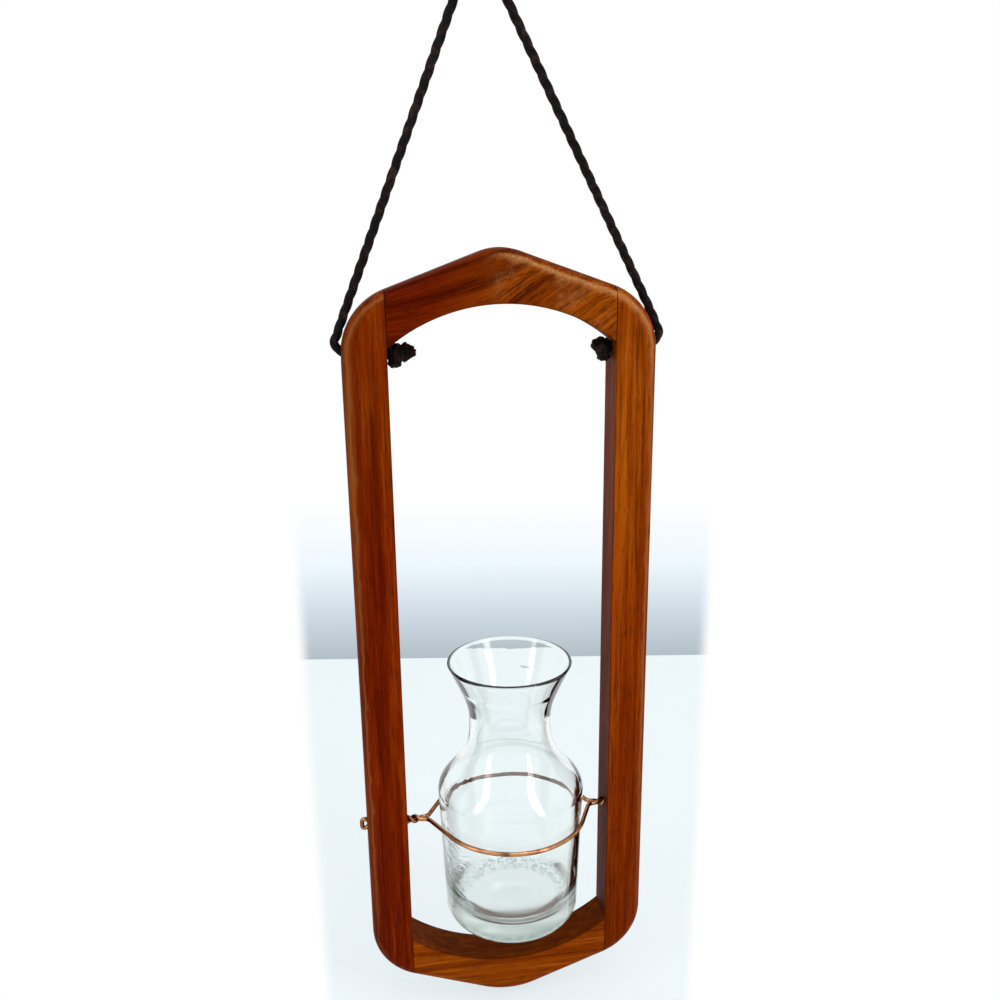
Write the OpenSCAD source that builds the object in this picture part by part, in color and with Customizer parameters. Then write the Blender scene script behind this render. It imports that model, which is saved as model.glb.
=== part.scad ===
// Hanging vase: a small glass carafe held by a wire ring that swings inside an upright wooden
// frame, with a cord that goes through both stiles and hangs the frame from one hook.
// Millimetres, +Z up. The origin is where the cord sits on its hook.

/* [Wooden frame] */
// Overall width of the frame
frame_w = 118; // [108:1:134]
// Depth of the wood from front to back
frame_depth = 16.5; // [15:0.5:22]
// Width of each stile
stile_w = 16.6; // [15:0.2:19]
// Height of the outline at the joints, above the frame's middle
joint_rise = 146.6; // [144:0.2:156]
// Slope of the outline over each rail, in degrees
outline_slope = 20; // [14:1:24]
// Radius of the rounded outer arrises
arris_r = 6; // [3:0.5:7]
// Radius of the rounded peak of the top rail
top_peak_r = 22; // [16:1:40]
// Radius of the rounded peak of the bottom rail
bottom_peak_r = 34; // [16:1:44]
// Height of the joint between a rail and a stile
joint_h = 20.4; // [18:0.1:21]
// Rise of each arch from its ends to its crown
arch_h = 14.9; // [10:0.1:18]

/* [Dowels] */
// Diameter of each dowel
dowel_d = 4; // [3:0.5:5]
// Length of each dowel
dowel_l = 18; // [14:0.5:20]
// How far each dowel goes into the stile
dowel_in_stile = 6.5; // [5:0.5:8]
// Distance between the two dowels of a joint
dowel_spacing = 7; // [6:0.5:8]
// Height of the dowels above the ends of the arch
dowel_lift = 11.8; // [10.5:0.1:13]
// Spare length at each end of a dowel hole
dowel_spare = 0.5; // [0.2:0.1:1]

/* [Hanging cord] */
// Diameter of the cord
cord_d = 3.5; // [2.6:0.1:3.8]
// Gap around the cord in its bores
cord_gap = 0.33; // [0.2:0.01:0.5]
// Distance of the cord's bores below the ends of the arch
cord_drop = 2; // [2:0.1:8]
// Radius that eases the mouth of each bore
mouth_r = 2.5; // [1:0.1:3]
// Radius of the hook that the cord is bent over
hook_r = 1.75; // [1.5:0.05:2.5]
// Height of the hook's seat above the frame's middle
hook_rise = 255; // [240:1:300]
// How far the hook is to the left of the frame's middle
hook_side = 6; // [0:0.5:12]

/* [Knots] */
// Radius of each knot
knot_r = 4.2; // [3.6:0.1:4.3]
// Distance from a knot's flat seat to its middle
knot_reach = 2.7; // [2.6:0.1:3.6]
// How far a knot sags below the bore
knot_sag = 1.4; // [1.2:0.1:2]
// How far the left knot's frayed tail stands out of it
left_tail_l = 4.8; // [2:0.1:6]
// Radius of the left tail's frayed end
left_fray_r = 3.5; // [2:0.1:4]
// How far the right knot's tail stands out of it
right_tail_l = 0.6; // [0.4:0.1:4]
// Radius of the right tail's frayed end
right_fray_r = 1.9; // [1.8:0.1:3]

/* [Wire holder] */
// Diameter of the wire
wire_d = 1.8; // [1.2:0.1:2]
// Gap between the two twisted strands
strand_gap = 0.1; // [0.08:0.02:0.2]
// Gap around the twisted pair in its bores
pivot_gap = 0.2; // [0.1:0.05:0.4]
// Gap between the vase's base and the crown of the lower arch
base_room = 19.4; // [14:0.1:26]
// How far the ring is to the right of the frame's middle
ring_side = 2.15; // [-3:0.05:3]
// Distance from the ring to the point where its two sides meet
split_reach = 4.1; // [3:0.1:5]
// Radius of the bend where the two sides meet, measured along each strand
split_bend = 2.2; // [1.6:0.1:3]
// Length of one full turn of the twist
twist_pitch = 6.6; // [6.2:0.1:9]
// Length over which the twist eases in
twist_ease = 2.4; // [1:0.1:3]
// Depth of the blind bore in the right stile
blind_depth = 12; // [8:0.5:13]
// Gap between the wire's end and the bottom of the blind bore
blind_gap = 1.2; // [1:0.1:2]
// Half the height of the eye outside the left stile, at the wire's middle
eye_half_h = 2.1; // [1.8:0.1:2.6]
// Bend radius of the eye
eye_bend = 1.1; // [1.05:0.05:1.4]
// How far the eye's widest point is out of the stile
eye_out = 0.95; // [0.9:0.05:2]
// How far inside the stile the strands begin to part
eye_in = 1.1; // [0.8:0.1:2]
// Depth of the countersink under the eye
sink_depth = 1.4; // [1:0.1:2]
// Radius of the countersink under the eye
sink_r = 3; // [2.6:0.1:4]

/* [Glass vase] */
// Height of the vase
vase_h = 119.4; // [112:0.1:128]
// Distance from the vase's shoulder to each stile, with the ring in the frame's middle
body_room = 11.7; // [10:0.1:14]
// How much less the body's radius is at the heel than at the shoulder
body_taper = 2.2; // [1:0.1:4]
// Radius of the rounded heel
heel_r = 8; // [3:0.5:12]
// Height at which the shoulder begins
shoulder_h = 61; // [58:0.5:66]
// How much less the neck's radius is than the shoulder's
neck_in = 13.8; // [11:0.1:16]
// Height of the rim above the neck's lower end
flare_h = 27.4; // [23:0.1:31]
// Length of the straight neck
neck_l = 2; // [1:0.5:6]
// How far the neck's line carries into the flare's curve
flare_pull = 7; // [4:0.5:10]
// Height of the flare's leaning stretch under the rim
lean_h = 12; // [6:0.5:14]
// Lean of the flare under the rim, in degrees from upright
lean = 25; // [15:1:30]
// How much less the rim's radius is than the shoulder's
rim_in = 5.2; // [2:0.1:8]
// Thickness of the glass wall
glass_t = 2; // [1.2:0.1:3]
// Thickness of the glass at the rim
rim_t = 1.5; // [1:0.1:2]
// Thickness of the glass base
base_t = 9; // [3:0.5:12]
// Radius of the inside corner at the base
inside_r = 5; // [2:0.5:8]
// Height above the vase's base at which the ring holds it
hold_h = 49.7; // [46:0.1:54]
// Gap between the ring and the glass
hold_gap = 0.3; // [0.2:0.05:0.5]

/* [Hidden] */

$fn = 96;
wood_color = [0.56, 0.25, 0.05];
dowel_color = [0.80, 0.62, 0.38];
cord_color = [0.13, 0.08, 0.05];
copper_color = [0.72, 0.42, 0.28];
glass_color = [0.78, 0.88, 0.86, 0.4];

// How far cutting tools run past the wood
over = 1;
// Gap that keeps a knot's flat seat off the stile
seat_gap = 0.3;
// Air between the cord and the wood that it turns round, enough for the frame's swing
cord_air = 0.3;
// Shares of the height between shoulder and neck over which their lines carry into the curve
shoulder_share = 9 / 31;
neck_share = 20 / 31;

// Frame: the joint planes, the rounded corners and the sharp peak of the outline
joint_x = frame_w / 2 - stile_w;
arch_end_rise = joint_rise - joint_h;
corner_r = stile_w / (1 - sin(outline_slope));
corner_x = frame_w / 2 - corner_r;
corner_z = joint_rise - corner_r * cos(outline_slope);
peak_z = joint_rise + joint_x * tan(outline_slope);
rail_stock = (peak_z - arch_end_rise) * cos(outline_slope);
arch_r = (joint_x * joint_x + arch_h * arch_h) / (2 * arch_h);
arch_z = arch_end_rise + arch_h - arch_r;
dowel_z = arch_end_rise + dowel_lift;

// Cord: radius, bore, and the bends round the mouth of a bore, the corner of a stile and the hook
cord_r = cord_d / 2;
cord_bore_r = cord_r + cord_gap;
cord_step = 2.5 * cord_d;
cord_sides = 8;
cord_rise = arch_end_rise - cord_drop;
mouth_turn_r = mouth_r + cord_r + cord_air;
corner_turn_r = corner_r + cord_r + cord_air;
hook_turn_r = hook_r + cord_r;
hook_bend = [for (a = [-68, -34, 0, 32, 63]) [hook_turn_r * sin(a), cord_r + hook_turn_r * (cos(a) - 1)]];

// Route from the knot inside the stile on the right, up round its corner, to the point where the
// cord leaves that corner for the given point of the hook, in the frame's own space
function stile_route(hook) =
    let (corner = [corner_x, corner_z],
        away = hook - corner,
        leaves = atan2(away[1], away[0]) - acos(corner_turn_r / norm(away)),
        meets = asin((cord_rise + mouth_turn_r - corner_z) / corner_turn_r))
    concat([[joint_x - seat_gap, cord_rise]],
        [for (a = [0 : 22.5 : 90])
            [frame_w / 2 - mouth_r + mouth_turn_r * sin(a), cord_rise + mouth_turn_r * (1 - cos(a))]],
        [for (a = [(leaves + meets) / 2, leaves]) corner + corner_turn_r * [cos(a), sin(a)]]);

// The cord's whole route as [x, z], from the left knot over the hook to the right one
left_route = stile_route([hook_side - hook_bend[0][0], hook_rise + hook_bend[0][1]]);
right_route = stile_route([hook_bend[4][0] - hook_side, hook_rise + hook_bend[4][1]]);
cord_route = concat([for (p = left_route) [hook_side - p[0], p[1] - hook_rise]], hook_bend,
    [for (i = [len(right_route) - 1 : -1 : 0]) right_route[i] + [hook_side, -hook_rise]]);

// Knots: the core inside the two turns of cord, and the tilt of those turns in degrees
knot_core_r = knot_r - cord_r / 2;
knot_turn_tilts = [25, -55];
left_tail_tilt = -5;
right_tail_tilt = -50;

// Vase and ring: the frame's window gives the vase's width, and the body's radius where the ring
// holds it gives the ring's own radius
body_top_r = joint_x - body_room;
body_low_r = body_top_r - body_taper;
neck_r = body_top_r - neck_in;
rim_r = body_top_r - rim_in;
neck_h = vase_h - flare_h;
shoulder_pull = shoulder_share * (neck_h - shoulder_h);
neck_pull = neck_share * (neck_h - shoulder_h);
pivot_drop = arch_end_rise + arch_h - hold_h - base_room;
hold_r = body_low_r + (body_top_r - body_low_r) * (hold_h - heel_r) / (shoulder_h - heel_r);
wire_r = wire_d / 2;
wire_sides = 8;
ring_r = hold_r + hold_gap + wire_r;
strand_r = (wire_d + strand_gap) / 2;
pivot_bore_r = strand_r + wire_r + pivot_gap;
split_x = ring_r + split_reach;
ring_start = acos(ring_r / split_x);
left_twist_l = frame_w / 2 + ring_side - split_x - split_bend - eye_in;
right_twist_l = joint_x + blind_depth - blind_gap - ring_side - split_x - split_bend;
left_turns = round(left_twist_l / twist_pitch) + 1 / 4;
right_turns = right_twist_l / twist_pitch;
steps_per_turn = 15;
arc_steps = 24;
bend_steps = 6;
glass_steps = 14;

// Unit vector along v, and u made square to the unit vector t
function unit(v) = v / norm(v);
function square_to(u, t) = unit(u - (u * t) * t);

// Direction of a path at each of its points
function tangents(path) = [for (i = [0 : len(path) - 1])
    unit(path[min(i + 1, len(path) - 1)] - path[max(i - 1, 0)])];

// Side vectors carried along a path without twisting about it
function carried(t, start) = [for (i = 0, u = square_to(start, t[0]); i < len(t);
    i = i + 1, u = square_to(u, t[min(i, len(t) - 1)])) u];

// Points along a cubic curve from a to d, without its last point
function curve(a, b, c, d, n) = [for (i = [0 : n - 1]) let (t = i / n, s = 1 - t)
    s * s * s * a + 3 * s * s * t * b + 3 * s * t * t * c + t * t * t * d];

// Points along a straight run from a to b, without its last point
function run(a, b, step) = let (n = max(1, ceil(norm(b - a) / step)))
    [for (i = [0 : n - 1]) a + (b - a) * i / n];

// List with its order turned round
function turned(list) = [for (i = [len(list) - 1 : -1 : 0]) list[i]];

// Body swept along a path with a round section
module tube(path, r, sides, start) {
    t = tangents(path);
    u = carried(t, start);
    last = len(path) - 1;
    points = [for (i = [0 : last], k = [0 : sides - 1]) let (a = 360 * k / sides)
        path[i] + r * (cos(a) * u[i] + sin(a) * cross(t[i], u[i]))];
    walls = [for (i = [0 : last - 1], k = [0 : sides - 1])
        let (a = i * sides + k, b = i * sides + (k + 1) % sides)
        for (face = [[a, a + sides, b + sides], [a, b + sides, b]]) face];
    caps = [[for (k = [0 : sides - 1]) k], [for (k = [sides - 1 : -1 : 0]) last * sides + k]];
    polyhedron(points = points, faces = concat(walls, caps), convexity = 8);
}

// Places its children in the frame's own space, whose origin is the middle of the frame
module in_frame() {
    translate([hook_side, 0, -hook_rise]) children();
}

// Places its children on the ring's own axis, with the origin at the ring's middle
module on_pivot() {
    in_frame() translate([ring_side, 0, -pivot_drop]) children();
}

// Flat section of the wood between inner and outer, with its two outer arrises rounded
module edge_section(inner, outer) {
    translate([inner, -frame_depth / 2]) square([outer - inner - arris_r, frame_depth]);
    translate([outer - arris_r, arris_r - frame_depth / 2]) square([arris_r, frame_depth - 2 * arris_r]);
    for (side = [-1, 1]) translate([outer - arris_r, side * (frame_depth / 2 - arris_r)]) circle(arris_r);
}

// Cylinder along +X from x = 0
module rod(r, l) {
    rotate([0, 90, 0]) cylinder(h = l, r = r);
}

// Holes for the two dowels of a joint, between the two distances from the joint's plane
module dowel_holes(from, to) {
    for (side = [-1, 1])
        translate([from, side * dowel_spacing / 2, dowel_z]) rod(dowel_d / 2, to - from);
}

// Upper half of the stile on the right, whose outline turns in a corner arc that ends at the joint
module stile_half() {
    translate([joint_x, 0, 0]) linear_extrude(corner_z) edge_section(0, stile_w);
    intersection() {
        translate([corner_x, 0, corner_z]) rotate([90, 0, 0])
            rotate_extrude(angle = 90 - outline_slope) edge_section(0, corner_r);
        translate([joint_x, -frame_depth / 2 - over, 0])
            cube([stile_w + over, frame_depth + 2 * over, joint_rise + over]);
    }
}

// Stile on the right of the frame without its bores
module stile_blank() {
    difference() {
        for (end = [0, 1]) mirror([0, 0, end]) stile_half();
        for (end = [0, 1]) mirror([0, 0, end])
            dowel_holes(joint_x - over, joint_x + dowel_in_stile + dowel_spare);
    }
}

// Bore for the cord with its eased outer mouth
module cord_bore() {
    translate([joint_x - over, 0, cord_rise]) rotate([0, 90, 0]) rotate_extrude() {
        square([cord_bore_r, stile_w + 2 * over]);
        translate([0, stile_w + over]) square([cord_bore_r + mouth_r, over]);
        translate([0, stile_w + over - mouth_r]) difference() {
            square([cord_bore_r + mouth_r, mouth_r]);
            translate([cord_bore_r + mouth_r, 0]) circle(mouth_r);
        }
    }
}

// Rail on top of the frame, rounded at its peak and arched below
module rail(peak_r) {
    peak_centre_z = peak_z - peak_r / cos(outline_slope);
    difference() {
        intersection() {
            translate([0, 0, peak_centre_z]) union() {
                rotate([90, 0, 0]) rotate([0, 0, 90 - outline_slope])
                    rotate_extrude(angle = 2 * outline_slope) edge_section(0, peak_r);
                for (side = [0, 1]) mirror([side, 0, 0]) rotate([0, -outline_slope, 0]) rotate([0, -90, 0])
                    linear_extrude(frame_w / 2 / cos(outline_slope)) edge_section(peak_r - rail_stock, peak_r);
            }
            translate([-joint_x, -frame_depth / 2 - over, arch_end_rise - over])
                cube([2 * joint_x, frame_depth + 2 * over, peak_z - arch_end_rise + 2 * over]);
        }
        translate([0, 0, arch_z]) rotate([90, 0, 0])
            cylinder(h = frame_depth + 2 * over, r = arch_r, center = true, $fn = 240);
        for (side = [0, 1]) mirror([side, 0, 0])
            dowel_holes(joint_x - dowel_l + dowel_in_stile - dowel_spare, joint_x + over);
    }
}

// Two dowels of the joint on the upper right
module dowel_pair() {
    for (side = [-1, 1])
        translate([joint_x + dowel_in_stile - dowel_l, side * dowel_spacing / 2, dowel_z])
            rod(dowel_d / 2, dowel_l);
}

module left_stile() {
    color(wood_color) in_frame() difference() {
        mirror([1, 0, 0]) difference() {
            stile_blank();
            cord_bore();
        }
        translate([-frame_w / 2 - over, 0, -pivot_drop]) rod(pivot_bore_r, stile_w + 2 * over);
        translate([-frame_w / 2, 0, -pivot_drop]) rotate([0, 90, 0])
            cylinder(h = sink_depth, r1 = sink_r, r2 = pivot_bore_r);
    }
}

module right_stile() {
    color(wood_color) in_frame() difference() {
        stile_blank();
        cord_bore();
        translate([joint_x - over, 0, -pivot_drop]) rod(pivot_bore_r, blind_depth + over);
    }
}

module top_rail() {
    color(wood_color) in_frame() rail(top_peak_r);
}

module bottom_rail() {
    color(wood_color) in_frame() mirror([0, 0, 1]) rail(bottom_peak_r);
}

module top_left_dowels() {
    color(dowel_color) in_frame() mirror([1, 0, 0]) dowel_pair();
}

module top_right_dowels() {
    color(dowel_color) in_frame() dowel_pair();
}

module bottom_left_dowels() {
    color(dowel_color) in_frame() mirror([0, 0, 1]) mirror([1, 0, 0]) dowel_pair();
}

module bottom_right_dowels() {
    color(dowel_color) in_frame() mirror([0, 0, 1]) dowel_pair();
}

module hanging_cord() {
    points = [for (p = cord_route) [p[0], 0, p[1]]];
    last = len(points) - 1;
    path = concat([for (i = [0 : last - 1]) for (p = run(points[i], points[i + 1], cord_step)) p], [points[last]]);
    color(cord_color) tube(path, cord_r, cord_sides, [0, 1, 0]);
}

// Knot with its flat seat at x = 0 and its frayed tail towards +X
module knot(tail_l, tail_tilt, fray_r) {
    middle = [knot_reach, 0, -knot_sag];
    intersection() {
        translate([0, -2 * knot_r, -2 * knot_r]) cube(4 * knot_r);
        translate(middle) union() {
            sphere(knot_core_r);
            for (tilt = knot_turn_tilts) rotate([0, 90 + tilt, 0])
                rotate_extrude() translate([knot_r - cord_r, 0]) circle(cord_r);
        }
    }
    translate(middle) rotate([0, 90 + tail_tilt, 0]) cylinder(h = knot_r + tail_l, r1 = cord_r, r2 = fray_r);
}

module left_knot() {
    color(cord_color) in_frame() translate([-joint_x + seat_gap, 0, cord_rise])
        knot(left_tail_l, left_tail_tilt, left_fray_r);
}

module right_knot() {
    color(cord_color) in_frame() translate([joint_x - seat_gap, 0, cord_rise]) mirror([1, 0, 0])
        knot(right_tail_l, right_tail_tilt, right_fray_r);
}

// Share of the twist that is done at distance d along a twist of length l, eased at its start
function eased(d) = d < twist_ease ? d * d / (2 * twist_ease) : d - twist_ease / 2;
function twist_done(d, l) = eased(d) / eased(l);

// One strand of a twist, from the split outwards, as [distance, y, z]
function strand(l, turns) = let (n = ceil(turns * steps_per_turn))
    [for (i = [0 : n]) let (d = l * i / n, a = 360 * turns * twist_done(d, l))
        [d, -strand_r * cos(a), strand_r * sin(a)]];

// Bend from a twist into one side of the ring, for the split on the right
function split_curve() =
    let (corner = [split_x, -strand_r, 0],
        touch = ring_r * [cos(ring_start), -sin(ring_start), 0],
        away = unit(touch - corner),
        in = corner + [split_bend, 0, 0],
        out = corner + split_bend * away)
    curve(in, (in + 2 * corner) / 3, (out + 2 * corner) / 3, out, bend_steps);

// Front half of the wire, from its right end to the start of the eye, in the ring's own space
function wire_half() = concat(
    turned([for (p = strand(right_twist_l, right_turns)) p + [split_x + split_bend, 0, 0]]),
    [for (i = [1 : bend_steps - 1]) split_curve()[i]],
    [for (i = [0 : arc_steps]) let (a = ring_start + (180 - 2 * ring_start) * i / arc_steps)
        ring_r * [cos(a), -sin(a), 0]],
    turned([for (i = [1 : bend_steps - 1]) let (p = split_curve()[i]) [-p[0], p[1], p[2]]]),
    [for (p = strand(left_twist_l, left_turns)) [-p[0] - split_x - split_bend, p[1], p[2]]]);

// Upper half of the eye, from the end of the twist to the middle of the eye's crossing
function eye_half() =
    let (face = -frame_w / 2 - ring_side,
        inner = [face + eye_in, 0, strand_r],
        wide = [face - eye_out, 0, eye_half_h],
        pull = [(eye_in + eye_out) / 2, 0, 0])
    concat([for (i = [1 : bend_steps]) curve(inner, inner - pull, wide + pull, wide, bend_steps + 1)[i]],
        [for (i = [0 : bend_steps]) let (a = 90 * i / bend_steps)
            wide - eye_bend * [sin(a), 0, 1 - cos(a)]]);

module wire_holder() {
    half = concat(wire_half(), eye_half());
    other = turned([for (p = half) [p[0], -p[1], -p[2]]]);
    color(copper_color) on_pivot() tube(concat(half, other), wire_r, wire_sides, [0, 0, 1]);
}

// Outer outline of the vase above its heel, as [radius, height]
function outer_outline() = concat(
    [[body_low_r, heel_r]],
    curve([body_top_r, shoulder_h], [body_top_r, shoulder_h + shoulder_pull],
        [neck_r, neck_h - neck_pull], [neck_r, neck_h], glass_steps),
    curve([neck_r, neck_h + neck_l], [neck_r, neck_h + neck_l + flare_pull],
        [rim_r - lean_h * tan(lean), vase_h - rim_t / 2 - lean_h], [rim_r, vase_h - rim_t / 2], glass_steps));

module glass_vase() {
    outer = outer_outline();
    inside_low_r = body_low_r - glass_t;
    heel = [for (i = [0 : bend_steps]) let (a = 90 * i / bend_steps)
        [body_low_r - heel_r * (1 - sin(a)), heel_r * (1 - cos(a))]];
    rim = [for (i = [0 : bend_steps]) let (a = 180 * i / bend_steps)
        [rim_r - rim_t / 2 * (1 - cos(a)), vase_h - rim_t / 2 * (1 - sin(a))]];
    inner = turned([for (i = [1 : len(outer) - 1]) outer[i] - [glass_t, 0]]);
    corner = [for (i = [bend_steps : -1 : 0]) let (a = 90 * i / bend_steps)
        [inside_low_r - inside_r * (1 - sin(a)), base_t + inside_r * (1 - cos(a))]];
    outline = concat([[0, 0]], heel, [for (i = [1 : len(outer) - 1]) outer[i]], rim, inner, corner, [[0, base_t]]);
    color(glass_color) on_pivot() translate([0, 0, -hold_h]) rotate_extrude() polygon(outline);
}

left_stile();
right_stile();
top_rail();
bottom_rail();
top_left_dowels();
top_right_dowels();
bottom_left_dowels();
bottom_right_dowels();
hanging_cord();
left_knot();
right_knot();
wire_holder();
glass_vase();
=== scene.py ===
"""Looks of the hanging glass vase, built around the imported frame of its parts.

A laid cord, knotted inside both stiles, hangs an oiled wooden frame from one hook. A folded copper
wire turns in the stiles and holds a small glass carafe in its ring. Meshes are drawn in millimetres
and become metres as they are finished.
"""

import logging
import math
from collections.abc import Callable, Iterable, Sequence
from dataclasses import dataclass, field
from enum import Enum
from functools import reduce

import bmesh
import bpy
from bmesh.types import BMEdge, BMesh, BMFace, BMVert
from mathutils import Matrix, Vector, noise


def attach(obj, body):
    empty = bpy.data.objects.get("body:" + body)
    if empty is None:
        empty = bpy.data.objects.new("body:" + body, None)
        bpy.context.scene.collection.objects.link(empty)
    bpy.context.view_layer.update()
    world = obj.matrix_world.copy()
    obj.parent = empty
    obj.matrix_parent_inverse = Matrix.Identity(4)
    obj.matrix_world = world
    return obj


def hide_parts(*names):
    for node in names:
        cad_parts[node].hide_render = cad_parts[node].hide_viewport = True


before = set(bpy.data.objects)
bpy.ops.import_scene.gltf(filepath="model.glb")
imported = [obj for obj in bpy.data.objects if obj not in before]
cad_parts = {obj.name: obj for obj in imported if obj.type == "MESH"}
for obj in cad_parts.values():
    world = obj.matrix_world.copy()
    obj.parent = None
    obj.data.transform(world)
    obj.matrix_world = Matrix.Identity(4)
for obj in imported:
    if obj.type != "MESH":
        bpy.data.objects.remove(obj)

LOG = logging.getLogger("hanging_vase")

MM = 0.001
FRONT = Vector((0, -1, 0))
SIDEWAYS = Vector((1, 0, 0))
UP = Vector((0, 0, 1))
FRAME_MIDDLE = Vector((6.0, 0.0, -255.0))
RING_MIDDLE = Vector((8.15, 0.0, -327.0))

Colour = tuple[float, float, float, float]
Ring = Sequence[tuple[float, float]]
Stops = Sequence[tuple[float, str]]


class Grain(Enum):
    """Axis along which a board's grain runs."""

    UPRIGHT = "Z"
    LEVEL = "X"

    def stretch(self, share: float) -> tuple[float, float, float]:
        """Gives the factors that draw a pattern out along the grain, where it keeps a share of its pace."""
        return (share, 1.0, 1.0) if self is Grain.LEVEL else (1.0, 1.0, share)


def tone(code: str) -> Colour:
    """Gives a screen colour as the linear colour that a shader takes.

    Args:
        code: Six hexadecimal digits, red first.

    Returns:
        Red, green, blue and an alpha of 1.
    """
    parts = [int(code[i:i + 2], 16) / 255 for i in (0, 2, 4)]
    red, green, blue = (p / 12.92 if p <= 0.04045 else ((p + 0.055) / 1.055) ** 2.4 for p in parts)
    return red, green, blue, 1.0


def finish_piece(name: str, bm: BMesh, sharp: float = 35.0) -> bpy.types.Object:
    """Turns a finished bmesh into an object at the origin, with its place in its mesh.

    Args:
        name: Name of the piece.
        bm: The shape, in millimetres. It is freed.
        sharp: Edges that turn by more than this many degrees stay sharp.

    Returns:
        The linked mesh object, in metres.
    """
    bmesh.ops.recalc_face_normals(bm, faces=bm.faces)
    for face in bm.faces:
        face.smooth = True
    for edge in bm.edges:
        edge.smooth = edge.is_boundary or edge.calc_face_angle(0) < math.radians(sharp)
    bmesh.ops.scale(bm, vec=(MM, MM, MM), verts=bm.verts)
    mesh = bpy.data.meshes.new(name)
    bm.to_mesh(mesh)
    bm.free()
    piece = bpy.data.objects.new(name, mesh)
    bpy.context.scene.collection.objects.link(piece)
    return piece


def dress(piece: bpy.types.Object, material: bpy.types.Material) -> None:
    """Gives a piece its only material."""
    piece.data.materials.clear()
    piece.data.materials.append(material)


def rounded(route: Sequence[Vector], reach: float, steps: int = 6) -> list[Vector]:
    """Rounds the corners of a route of straight runs.

    Args:
        route: Points of the route.
        reach: Most that a bend takes from the run on each side of its corner.
        steps: Points in each bend.

    Returns:
        The route with a smooth bend at every corner.
    """
    points = [route[0]]
    for before, corner, after in zip(route, route[1:], route[2:]):
        near = corner + (before - corner) * min(0.5, reach / (before - corner).length)
        far = corner + (after - corner) * min(0.5, reach / (after - corner).length)
        for i in range(steps + 1):
            t = i / steps
            points.append(near * (1 - t) ** 2 + corner * 2 * t * (1 - t) + far * t * t)
    return [*points, route[-1]]


def even(points: Sequence[Vector], step: float) -> list[Vector]:
    """Spaces points evenly along a line through the given ones.

    Args:
        points: Points of the line.
        step: Wanted distance between two points.

    Returns:
        The new points, both ends included.
    """
    marks = [0.0]
    for a, b in zip(points, points[1:]):
        marks.append(marks[-1] + (b - a).length)
    count = max(2, round(marks[-1] / step))
    spaced, i = [], 0
    for k in range(count + 1):
        mark = marks[-1] * k / count
        while i < len(points) - 2 and marks[i + 1] < mark:
            i += 1
        run = marks[i + 1] - marks[i]
        spaced.append(points[i].lerp(points[i + 1], (mark - marks[i]) / run if run else 0.0))
    return spaced


def cubic(a: Vector, b: Vector, c: Vector, d: Vector, steps: int) -> list[Vector]:
    """Gives points along a cubic curve from a to d, without its last point."""
    shares = [(1 - i / steps, i / steps) for i in range(steps)]
    return [u ** 3 * a + 3 * u * u * t * b + 3 * u * t * t * c + t ** 3 * d for u, t in shares]


def bow(x: float, z: float, radius: float, first: float, last: float, steps: int) -> list[Vector]:
    """Gives points of an arc in the plane of X and Z.

    Args:
        x: Centre of the arc along X.
        z: Centre of the arc along Z.
        radius: Its radius.
        first: Angle of its first point in degrees, from X towards Z.
        last: Angle of its last point.
        steps: Steps from the first point to the last.

    Returns:
        The points, both ends included.
    """
    turns = [math.radians(first + (last - first) * i / steps) for i in range(steps + 1)]
    return [Vector((x + radius * math.cos(a), 0, z + radius * math.sin(a))) for a in turns]


def spun(line: Sequence[Vector], axis: Vector, steps: int) -> BMesh:
    """Draws a line one extrusion a stroke, and spins it about an axis through the origin.

    Args:
        line: Points of the line, from pole to pole.
        axis: Direction of the axis.
        steps: Steps of the full turn.

    Returns:
        The closed skin.
    """
    bm = bmesh.new()
    tip = bm.verts.new(line[0])
    for point in line[1:]:
        tip = bmesh.ops.extrude_vert_indiv(bm, verts=[tip])["verts"][0]
        tip.co = point
    bmesh.ops.remove_doubles(bm, verts=bm.verts, dist=0.01)
    bmesh.ops.spin(bm, geom=[*bm.verts, *bm.edges], cent=(0, 0, 0), axis=axis, angle=math.tau, steps=steps,
                   use_merge=True, use_duplicate=False)
    bmesh.ops.remove_doubles(bm, verts=bm.verts, dist=0.005)
    return bm


def sections(path: Sequence[Vector], side: Vector) -> list[Matrix]:
    """Places a section at each point of a path, carried along without a twist of its own.

    Args:
        path: Points of the path.
        side: Direction that the first section's x axis starts from.

    Returns:
        One matrix a point, whose z axis follows the path.
    """
    places = []
    for i, point in enumerate(path):
        ahead = (path[min(i + 1, len(path) - 1)] - path[max(i - 1, 0)]).normalized()
        side = (side - ahead * side.dot(ahead)).normalized()
        across = ahead.cross(side)
        places.append(Matrix((side, across, ahead)).transposed().to_4x4())
        places[-1].translation = point
    return places


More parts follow.
